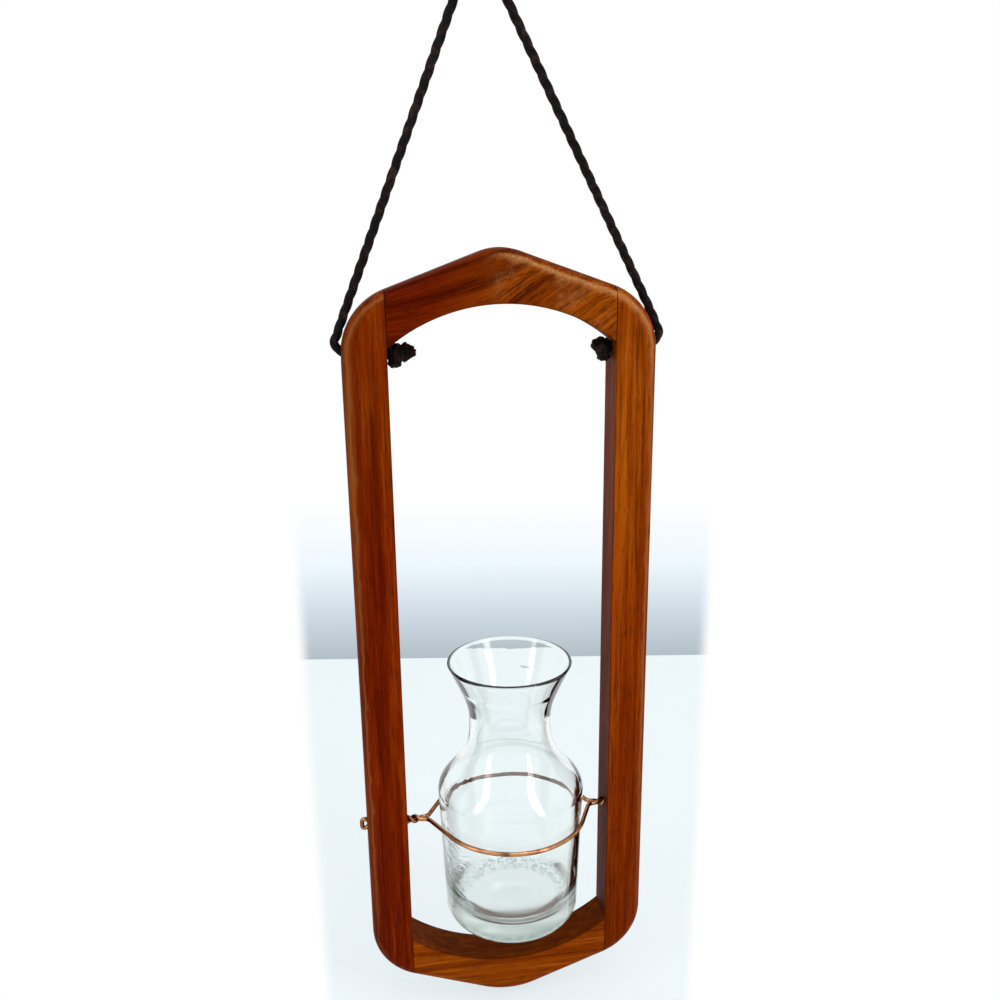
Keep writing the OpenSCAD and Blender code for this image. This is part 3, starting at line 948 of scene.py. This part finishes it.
    def wire_tools(self, side: float) -> list[bpy.types.Object]:
        """Makes the tools for the wire's bore: right through on the left, blind on the right.

        Args:
            side: The left stile (-1) or the right one (1).

        Returns:
            The tools.
        """
        r, reach = self.pivot_bore_r, self.blind_depth
        start = Vector((side * self.joint_x, 0, -self.pivot_drop)) + self.middle
        if side > 0:
            return [self.cutter([(-1, r), (reach, r)], start)]
        face, sink = -self.stile_w, self.sink_r
        return [self.cutter([(1, r), (face + self.sink_depth, r), (face, sink), (face - 1, sink)], start)]

    def finishes(self) -> dict[str, WoodFinish]:
        """Gives each board its finish.

        Returns:
            The finish of each node.
        """
        arch_z = self.arch_rise + self.middle.z
        return {
            "left_stile": WoodFinish(
                "left_stile_wood", Grain.UPRIGHT, "661E02", "822E02", "9C480A", (0.31, 0.12, 0.44),
                tint="E6BCCC", tinted=(-215, -150),
                painted_highlights=(PaintedArrisHighlight(6.7, 0.8, "985C30", 0.5, (-420, -330)),
                      PaintedArrisHighlight(6.5, 1.7, "925A26", 0.4, (-270, -150)))),
            "right_stile": WoodFinish(
                "right_stile_wood", Grain.UPRIGHT, "7A3004", "923F04", "B0590C", (0.77, 0.52, 0.13),
                tint="DCBCB4", tinted=(-250, -150), knot=(64.2, -5.0, -203.5),
                painted_highlights=(PaintedArrisHighlight(6.9, 1.1, "A8622C", 0.5, (-420, -250)),
                      PaintedArrisHighlight(7.1, 1.1, "BE804A", 0.5, (-150, -118), 0.5))),
            "top_rail": WoodFinish(
                "top_rail_wood", Grain.LEVEL, "6A2802", "883C04", "A8540C", (0.23, 0.91, 0.37),
                (arch_z, self.arch_r), tint="B4767E", tinted=(-24, 34), curled=True,
                painted_highlights=(PaintedArrisHighlight(7.2, 1.0, "BE804A", 0.62, (-2, 14), 0.75),),
                scratches=((-23.7, -115.9), (-24.3, -117.2), (-8.7, -104.4))),
            "bottom_rail": WoodFinish(
                "bottom_rail_wood", Grain.LEVEL, "722A02", "8E3C03", "AA560C", (0.63, 0.27, 0.82),
                (2 * self.middle.z - arch_z, self.arch_r)),
        }

    def build(self) -> None:
        """Makes and dresses the stiles and rails, and stains the dowels inside the joints."""
        shapes = {
            "left_stile": (self.stile(), -1, 1),
            "right_stile": (self.stile(), 1, 1),
            "top_rail": (self.rail(self.top_peak_r), 1, 1),
            "bottom_rail": (self.rail(self.bottom_peak_r), 1, -1),
        }
        finishes = self.finishes()
        for node, (bm, across, up) in shapes.items():
            bmesh.ops.scale(bm, vec=(across, 1, up), verts=bm.verts)
            bmesh.ops.translate(bm, vec=self.middle, verts=bm.verts)
            piece = finish_piece(f"oiled_{node}", bm, 12)
            if "stile" in node:
                self.bored(piece, [self.cord_tool(across), *self.wire_tools(across)])
            piece.modifiers.new("even_normals", "WEIGHTED_NORMAL").keep_sharp = True
            dress(piece, finishes[node].material())
            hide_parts(node)
            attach(piece, "frame")
            LOG.info("%s: %d faces", piece.name, len(piece.data.polygons))
        pale = WoodFinish("dowel_wood", Grain.LEVEL, "B08A58", "C9A56E", "DDC08E", (0.4, 0.3, 0.6),
                          lines="8A6438", gloss=0.6).material()
        for name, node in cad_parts.items():
            if name.endswith("dowels"):
                dress(node, pale)
                LOG.info("%s: pale dowel wood", name)


@dataclass(frozen=True)
class FrayedTail:
    """Cord's free end behind a knot: its way out, and the brush that its yarns open into."""

    way: Sequence[tuple[float, float, float]]
    length: float
    flare: float
    layers: int


@dataclass
class HangingCord:
    """Laid cord of three strands over the hook, with a stopper knot of two turns inside each stile."""

    diameter: float = 3.5
    lay: float = 16.8
    strand_r: float = 1.12
    strand_off: float = 0.63
    length: float = 328.2
    joint_x: float = 42.4
    rise: float = 124.2
    knot_reach: float = 3.2
    knot_sag: float = 1.4
    turn_r: float = 3.15
    yarn_r: float = 0.74
    middle: Vector = field(default_factory=FRAME_MIDDLE.copy)
    route: Sequence[tuple[float, float]] = (
        (-36.1, -130.8), (-50.5, -130.8), (-52.24, -130.45), (-53.72, -129.47), (-54.70, -127.99),
        (-55.05, -126.25), (-53.81, -123.97), (-53.01, -121.76), (-3.25, -0.44), (-1.96, 1.15), (0.0, 1.75),
        (1.85, 1.22), (3.12, -0.16), (64.07, -119.72), (65.45, -122.91), (67.05, -126.25), (66.70, -127.99),
        (65.72, -129.47), (64.24, -130.45), (62.5, -130.8), (48.1, -130.8),
    )
    left_tail: FrayedTail = FrayedTail(((5.4, -0.2, -1.3), (5.9, -0.3, -0.9)), 4.7, 2.7, 2)
    right_tail: FrayedTail = FrayedTail(((5.6, -0.2, -0.6), (5.4, -0.9, 0.5)), 1.8, 1.6, 1)

    def laid_ring(self, count: int = 24) -> list[tuple[float, float]]:
        """Gives the outline of three strands that lie together.

        Args:
            count: Points of the outline.

        Returns:
            The points about the cord's middle.
        """
        ring = []
        for k in range(count):
            a = math.tau * k / count
            from_strand = (a + math.pi / 3) % (math.tau / 3) - math.pi / 3
            r = self.strand_off * math.cos(from_strand) + math.sqrt(
                self.strand_r ** 2 - (self.strand_off * math.sin(from_strand)) ** 2)
            ring.append((r * math.cos(a), r * math.sin(a)))
        return ring

    def twist(self, along: float) -> float:
        """Gives the strands' turn at a distance along the cord."""
        return -math.tau * along / self.lay

    def knot_path(self, way: Sequence[Vector]) -> list[Vector]:
        """Gives the path of a stopper knot that starts in a bore at the origin and opens towards +X.

        The cord runs through the knot, turns back, goes twice round itself and comes out through the turns.

        Args:
            way: Points of the free end after the knot.

        Returns:
            Evenly spaced points.
        """
        axis = Vector((self.knot_reach, 0, -self.knot_sag))
        lead = [Vector(p) for p in ((-0.8, 0, 0), (0.4, 0.1, -0.1), (1.8, 0.5, -0.6), (4.2, 0.8, -0.9),
                                    (5.9, 1.6, -0.6))]
        turns, half, steps = 2.3, 2.0, 56
        wraps = []
        for i in range(steps + 1):
            share = i / steps
            a = math.radians(20) + math.tau * turns * share
            shift = half * (1 - 2 * share)
            r = self.turn_r - 0.2 * shift * shift
            wraps.append(axis + Vector((shift + 0.5 * math.sin(a), r * math.cos(a), r * math.sin(a))))
        back = [Vector(p) for p in ((1.0, -0.4, -1.6), (2.6, -0.5, -2.0), (4.4, -0.3, -1.7))]
        return even(rounded([*lead, *wraps, *back, *way], 0.6, 3), 0.3)

    def swell(self, along: float, length: float) -> float:
        """Gives a yarn's swell, which grows along it and rounds off at its tip."""
        tip = max(0.0, 1 + (along - length) / 0.7)
        return (0.8 + 0.3 * along / length) * math.sqrt(max(0.06, 1 - tip ** 2))

    def frayed_end(self, bm: BMesh, root: Vector, ahead: Vector, tail: FrayedTail) -> None:
        """Opens the cord's cut end into a ragged brush of yarns.

        Args:
            bm: The bmesh that takes the yarns.
            root: Place where the yarns part.
            ahead: Direction in which the end points.
            tail: Length, flare and layers of the brush.
        """
        side = ahead.orthogonal().normalized()
        for layer in range(tail.layers + 1):
            count = max(1, 9 * layer)
            for j in range(count):
                turn = Matrix.Rotation(math.tau * (j + 0.4 * layer) / count, 3, ahead)
                out = turn @ side * layer / tail.layers
                rough = noise.noise(Vector((2.3 * layer, 1.7 * j, tail.length)))
                reach = tail.length * (1 + 0.18 * rough - 0.16 * out.z - 0.25 * out.length_squared)
                start = root + out * 0.85 * tail.flare - ahead * 1.4
                end = root + ahead * reach + out * tail.flare * (1 + 0.25 * rough)
                bent = end - (ahead + out * 0.5) * reach * 0.3
                yarn = [*cubic(start, start + ahead * reach * 0.35, bent, end, 8), end]
                length = sum((b - a).length for a, b in zip(yarn, yarn[1:]))
                sweep(bm, yarn, circle(self.yarn_r, 8), side, swell=lambda s: self.swell(s, length))

    def knot(self, name: str, side: float, tail: FrayedTail) -> bpy.types.Object:
        """Makes the knot inside a stile.

        Args:
            name: Name of the piece.
            side: The left stile (-1) or the right one (1).
            tail: The cord's free end behind the knot.

        Returns:
            The knot.
        """
        path = self.knot_path([Vector(p) for p in tail.way])
        seat = Vector((side * (self.joint_x - 0.3), 0, self.rise)) + self.middle
        path = [Vector((-side * p.x, p.y, p.z)) + seat for p in path]
        bm = bmesh.new()
        sweep(bm, path, self.laid_ring(18), FRONT, lambda s: 1.6 * self.twist(s), lambda s: 0.95)
        self.frayed_end(bm, path[-1], (path[-1] - path[-4]).normalized(), tail)
        return finish_piece(name, bm, 60)

    def build(self) -> None:
        points = rounded([Vector((x, 0, z)) for x, z in self.route], 1.6, 5)
        bm = bmesh.new()
        sweep(bm, even(points, 0.4), self.laid_ring(), FRONT, self.twist)
        cord = finish_piece("laid_cord", bm, 60)
        left = self.knot("left_stopper_knot", -1, self.left_tail)
        right = self.knot("right_stopper_knot", 1, self.right_tail)
        finish = CordFinish().material()
        for piece, node in ((cord, "hanging_cord"), (left, "left_knot"), (right, "right_knot")):
            dress(piece, finish)
            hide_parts(node)
            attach(piece, "cord")
            LOG.info("%s: %d faces", piece.name, len(piece.data.polygons))
        path = [tuple(p * MM) for p in even(points, 3.0)]


@dataclass
class WireHolder:
    """Folded copper wire: an eye outside the left stile, twisted axles and a ring between them."""

    wire_r: float = 0.9
    strand_r: float = 0.95
    ring_r: float = 31.431
    left_reach: float = 4.1
    right_reach: float = 2.5
    split_bend: float = 2.2
    tilt: float = math.radians(2)
    pitch: float = 6.6
    ease: float = 2.4
    left_face: float = 61.15
    right_end: float = 51.05
    eye_half_h: float = 2.1
    eye_bend: float = 1.1
    eye_out: float = 0.95
    eye_in: float = 1.1
    pivot: Vector = field(default_factory=RING_MIDDLE.copy)

    def strand(self, length: float, turns: float) -> list[Vector]:
        """Gives one strand of a twist, from the split outwards along X.

        Args:
            length: Length of the twist.
            turns: Turns in it.

        Returns:
            Points along the strand's middle.
        """
        def eased(d: float) -> float:
            """Gives how far the twist has come, which starts slowly."""
            return d * d / (2 * self.ease) if d < self.ease else d - self.ease / 2

        steps = math.ceil(turns * 30)
        points = []
        for i in range(steps + 1):
            d = length * i / steps
            a = math.tau * turns * eased(d) / eased(length)
            points.append(Vector((d, -self.strand_r * math.cos(a), self.strand_r * math.sin(a))))
        return points

    def touch(self, reach: float) -> float:
        """Gives the angle at which a side of the ring leaves its circle for a split at the given reach."""
        return math.acos(self.ring_r / (self.ring_r + reach))

    def split(self, reach: float) -> list[Vector]:
        """Gives the bend from the right twist into the front side of the ring.

        Args:
            reach: How far outside the ring's circle its two sides part.

        Returns:
            Points of the bend, without its first.
        """
        start = self.touch(reach)
        corner = Vector((self.ring_r + reach, -self.strand_r, 0))
        touch = self.ring_r * Vector((math.cos(start), -math.sin(start), 0))
        near = corner + self.split_bend * SIDEWAYS
        far = corner + self.split_bend * (touch - corner).normalized()
        return cubic(near, (near + 2 * corner) / 3, (far + 2 * corner) / 3, far, 10)[1:]

    def front_half(self) -> list[Vector]:
        """Gives the wire's first half.

        Returns:
            Points from the wire's right end to the middle of the eye.
        """
        left_root = self.ring_r + self.left_reach + self.split_bend
        right_root = self.ring_r + self.right_reach + self.split_bend
        right_l, left_l = self.right_end - right_root, self.left_face - left_root - self.eye_in
        right = [p + right_root * SIDEWAYS for p in self.strand(right_l, right_l / self.pitch)]
        twist = self.strand(left_l, round(left_l / self.pitch) + 0.25)
        left = [Vector((-p.x - left_root, p.y, p.z)) for p in twist]
        first, last = self.touch(self.right_reach), math.pi - self.touch(self.left_reach)
        arc = [self.ring_r * Vector((math.cos(a), -math.sin(a), 0))
               for a in (first + (last - first) * i / 60 for i in range(61))]
        into, out_of = self.split(self.right_reach), self.split(self.left_reach)
        ring = [*into, *arc, *(Vector((-p.x, p.y, p.z)) for p in reversed(out_of))]
        lean = math.tan(self.tilt)
        ring = [Vector((p.x, p.y, (p.y + self.strand_r) * lean)) for p in ring]
        face = -self.left_face
        inner = Vector((face + self.eye_in, 0, self.strand_r))
        wide = Vector((face - self.eye_out, 0, self.eye_half_h))
        pull = Vector(((self.eye_in + self.eye_out) / 2, 0, 0))
        eye = cubic(inner, inner - pull, wide + pull, wide, 10)[1:]
        crossing = bow(wide.x, wide.z - self.eye_bend, self.eye_bend, 90, 180, 10)
        return [*reversed(right), *ring, *left, *eye, *crossing]

    def build(self) -> None:
        """Makes and dresses the wire."""
        half = self.front_half()
        other = [Vector((p.x, -p.y, -p.z)) for p in reversed(half)]
        path = [p + self.pivot for p in (*half, *other)]
        bm = bmesh.new()
        sweep(bm, path, circle(self.wire_r, 14), UP)
        wire = finish_piece("copper_holder", bm, 60)
        dress(wire, CopperFinish().material())
        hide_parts("wire_holder")
        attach(wire, "holder")
        LOG.info("%s: %d faces", wire.name, len(wire.data.polygons))


@dataclass
class Carafe:
    """Small pressed-glass carafe with a flared mouth, a narrow neck and a thick base."""

    height: float = 119.4
    low_r: float = 28.5
    top_r: float = 30.7
    heel_r: float = 8.0
    shoulder_h: float = 61.0
    shoulder_pull: float = 9.0
    neck_r: float = 16.9
    neck_h: float = 92.0
    neck_pull: float = 20.0
    neck_l: float = 2.0
    flare_pull: float = 7.0
    lean_h: float = 12.0
    lean: float = math.radians(25)
    rim_r: float = 25.5
    thin_h: float = 96.0
    wall: float = 2.0
    rim_t: float = 1.0
    base_t: float = 9.0
    inside_r: float = 8.5
    punt_r: float = 17.0
    punt_h: float = 1.6
    wave_h: float = 0.35
    hold_h: float = 49.7
    pivot: Vector = field(default_factory=RING_MIDDLE.copy)

    def wall_at(self, height: float) -> float:
        """Gives the wall's thickness at a height, thinner towards the rim."""
        share = max(0.0, (height - self.thin_h) / (self.height - self.thin_h))
        return self.wall + (self.rim_t - self.wall) * share

    def side_line(self) -> list[Vector]:
        """Gives the outer line from above the heel to the rim.

        Returns:
            Its points, with the radius as x and the height as z.
        """
        low, top = Vector((self.low_r, 0, self.heel_r)), Vector((self.top_r, 0, self.shoulder_h))
        neck = Vector((self.neck_r, 0, self.neck_h))
        throat = neck + UP * self.neck_l
        lip = Vector((self.rim_r, 0, self.height - self.rim_t / 2))
        under = lip - Vector((self.lean_h * math.tan(self.lean), 0, self.lean_h))
        return [
            *(low.lerp(top, i / 14) for i in range(14)),
            *cubic(top, top + UP * self.shoulder_pull, neck - UP * self.neck_pull, neck, 26),
            neck,
            *cubic(throat, throat + UP * self.flare_pull, under, lip, 26),
            lip,
        ]

    def profile(self) -> list[Vector]:
        """Gives the whole section.

        Returns:
            Points from the middle of the underside to the middle of the inside.
        """
        side = self.side_line()
        low = [(i / 8, math.cos(math.pi * i / 8)) for i in range(9)]
        punt = [Vector((self.punt_r * share, 0, self.punt_h * (0.5 + 0.5 * dome))) for share, dome in low]
        heel = bow(self.low_r - self.heel_r, self.heel_r, self.heel_r, -90, -9, 9)
        half = self.rim_t / 2
        rim = bow(self.rim_r - half, self.height - half, half, 18, 162, 8)
        bend, top = self.inside_r, self.base_t + self.inside_r
        inner = [p - Vector((self.wall_at(p.z), 0, 0)) for p in reversed(side[:-1]) if p.z > top]
        corner = bow(self.low_r - self.wall - bend, top, bend, 0, -90, 8)
        floor = [Vector((self.punt_r * i / 6, 0, self.base_t)) for i in range(6, -1, -1)]
        return [*punt, *heel, *side, *rim, *inner, *corner, *floor]

    def build(self) -> None:
        """Spins the section into the vase, gives its inside slow waves as of pressed glass and dresses it."""
        bm = spun(self.profile(), UP, 128)
        for vert in bm.verts:
            flat = Vector((vert.co.x, vert.co.y, 0))
            if self.is_inner(flat.length, vert.co.z):
                wave = noise.noise(Vector((flat.x * 0.05, flat.y * 0.05, vert.co.z * 0.035)))
                vert.co += flat.normalized() * self.wave_h * wave
        bmesh.ops.translate(bm, vec=self.pivot - UP * self.hold_h, verts=bm.verts)
        vase = finish_piece("glass_carafe", bm, 75)
        dress(vase, GlassFinish().material())
        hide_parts("glass_vase")
        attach(vase, "vase")
        LOG.info("%s: %d faces", vase.name, len(vase.data.polygons))

    def is_inner(self, radius: float, height: float) -> bool:
        """Says whether a point belongs to the inside wall, by the outer line's radius at its height.

        Args:
            radius: The point's distance from the vase's axis.
            height: Its height above the underside.

        Returns:
            True on the wall between the inside's corner and the mouth.
        """
        if not self.base_t + 1 < height < self.height - 12:
            return False
        outer = min(self.side_line(), key=lambda p: abs(p.z - height)).x
        return outer - self.wall - 0.4 < radius < outer - self.wall / 2


@dataclass
class Studio:
    """Camera at the photograph's place, a pale floor and soft lamps."""

    eye: Vector = field(default_factory=lambda: Vector((-53.857, -393.534, -78.714)))
    azimuth: float = 0.151
    elevation: float = 0.305
    roll: float = -0.012
    lens: float = 38.21
    shift: tuple[float, float] = (-0.0026, 0.0359)
    floor_z: float = -417.0
    floor_edge: float = 760.0

    @property
    def level(self) -> Vector:
        """Level direction in which the camera looks."""
        return Vector((math.sin(self.azimuth), math.cos(self.azimuth), 0))

    def heading(self) -> tuple[Vector, Vector, Vector]:
        """Gives the camera's directions.

        Returns:
            Its right, up and forward directions.
        """
        e, r = self.elevation, self.roll
        ahead = self.level * math.cos(e) - UP * math.sin(e)
        right = Vector((self.level.y, -self.level.x, 0))
        up = right.cross(ahead)
        return right * math.cos(r) + up * math.sin(r), up * math.cos(r) - right * math.sin(r), ahead

    def camera(self) -> None:
        """Sets up the camera."""
        right, up, ahead = self.heading()
        data = bpy.data.cameras.new("photo_camera")
        data.lens, data.sensor_width, data.clip_start = self.lens, 36.0, 0.01
        data.shift_x, data.shift_y = self.shift
        camera = bpy.data.objects.new("photo_camera", data)
        camera.matrix_world = Matrix((right, up, -ahead)).transposed().to_4x4()
        camera.location = self.eye * MM
        bpy.context.scene.collection.objects.link(camera)
        bpy.context.scene.camera = camera

    def lamp(self, name: str, side: float, rise: float, far: float, size: tuple[float, float],
             power: float) -> None:
        """Hangs a soft lamp that faces the middle of the object.

        Args:
            name: Name of the lamp.
            side: Degrees to the right of the camera, as seen from the object.
            rise: Degrees above the level.
            far: Distance in metres.
            size: Width and height in metres.
            power: Power in watts.
        """
        data = bpy.data.lights.new(name, "AREA")
        data.shape, data.size, data.size_y, data.energy = "RECTANGLE", *size, power
        lamp = bpy.data.objects.new(name, data)
        aim = FRAME_MIDDLE * MM
        a, e = math.pi + self.azimuth - math.radians(side), math.radians(rise)
        away = Vector((math.sin(a) * math.cos(e), math.cos(a) * math.cos(e), math.sin(e)))
        lamp.location = aim + away * far
        lamp.rotation_euler = away.to_track_quat("Z", "Y").to_euler()
        bpy.context.scene.collection.objects.link(lamp)

    def backdrop(self) -> None:
        """Lays the floor up to its far edge, and a pale wall behind it with painted shade that darkens it
        towards its foot.
        """
        level = self.level
        edge = Vector((self.eye.x, self.eye.y, 0)) + level * self.floor_edge
        across = Vector((level.y, -level.x, 0))
        floor = [edge + across * s - level * d + Vector((0, 0, self.floor_z))
                 for s, d in ((-3000, 0), (3000, 0), (3000, 3500), (-3000, 3500))]
        wall = [edge + level * 900 + across * s + Vector((0, 0, z))
                for s, z in ((-6000, -2600), (6000, -2600), (6000, 3500), (-6000, 3500))]
        eye, plain = self.eye * MM, "F3FCFF"
        # Painted shade on the wall: grey-blue at its foot, fading to white higher up.
        painted_wall_shade = ((0.0, "AEBAC2"), (0.3, "CDD9E2"), (0.62, "EEF8FE"), (1.0, "FFFFFF"))
        for corners, finish in (
            (floor, StageFinish("pale_floor", -1.0, 0.0, ((0.0, plain), (1.0, plain)), 0.25, eye, level)),
            (wall, StageFinish("pale_wall", -0.83, -0.54, painted_wall_shade, 0.0, eye, level)),
        ):
            bm = bmesh.new()
            bmesh.ops.contextual_create(bm, geom=[bm.verts.new(p) for p in corners])
            stage = finish_piece(finish.name, bm)
            dress(stage, finish.material())

    def world(self, light: float = 0.42) -> None:
        """Gives an even sky, white to the rays that look at it and softer as a light.

        Args:
            light: Its strength as a light.
        """
        world = bpy.data.worlds.new("studio_sky")
        bpy.context.scene.world = world
        world.use_nodes = True
        nodes, links = world.node_tree.nodes, world.node_tree.links
        sky = nodes["Background"]
        sky.inputs["Color"].default_value = (1, 1, 1, 1)
        strength = nodes.new("ShaderNodeMapRange")
        strength.inputs["To Min"].default_value = light
        links.new(looking(nodes, links), strength.inputs["Value"])
        links.new(strength.outputs["Result"], sky.inputs["Strength"])

    def build(self) -> None:
        """Sets up the whole studio."""
        self.camera()
        self.backdrop()
        self.world()
        self.lamp("left_window", -54, 34, 1.3, (0.26, 2.1), 4.0)
        self.lamp("right_window", 46, 34, 1.3, (0.26, 2.1), 8.0)
        self.lamp("high_softbox", 40, 76, 1.5, (1.4, 1.0), 4.5)
        bpy.context.scene.view_settings.view_transform = "Standard"


def main() -> None:
    """Builds the studio and every part in order."""
    logging.basicConfig(level=logging.INFO, format="%(name)s: %(message)s")
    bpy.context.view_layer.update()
    Studio().build()
    HangingCord().build()
    WoodenFrame().build()
    WireHolder().build()
    Carafe().build()


if __name__ == "__main__":
    main()
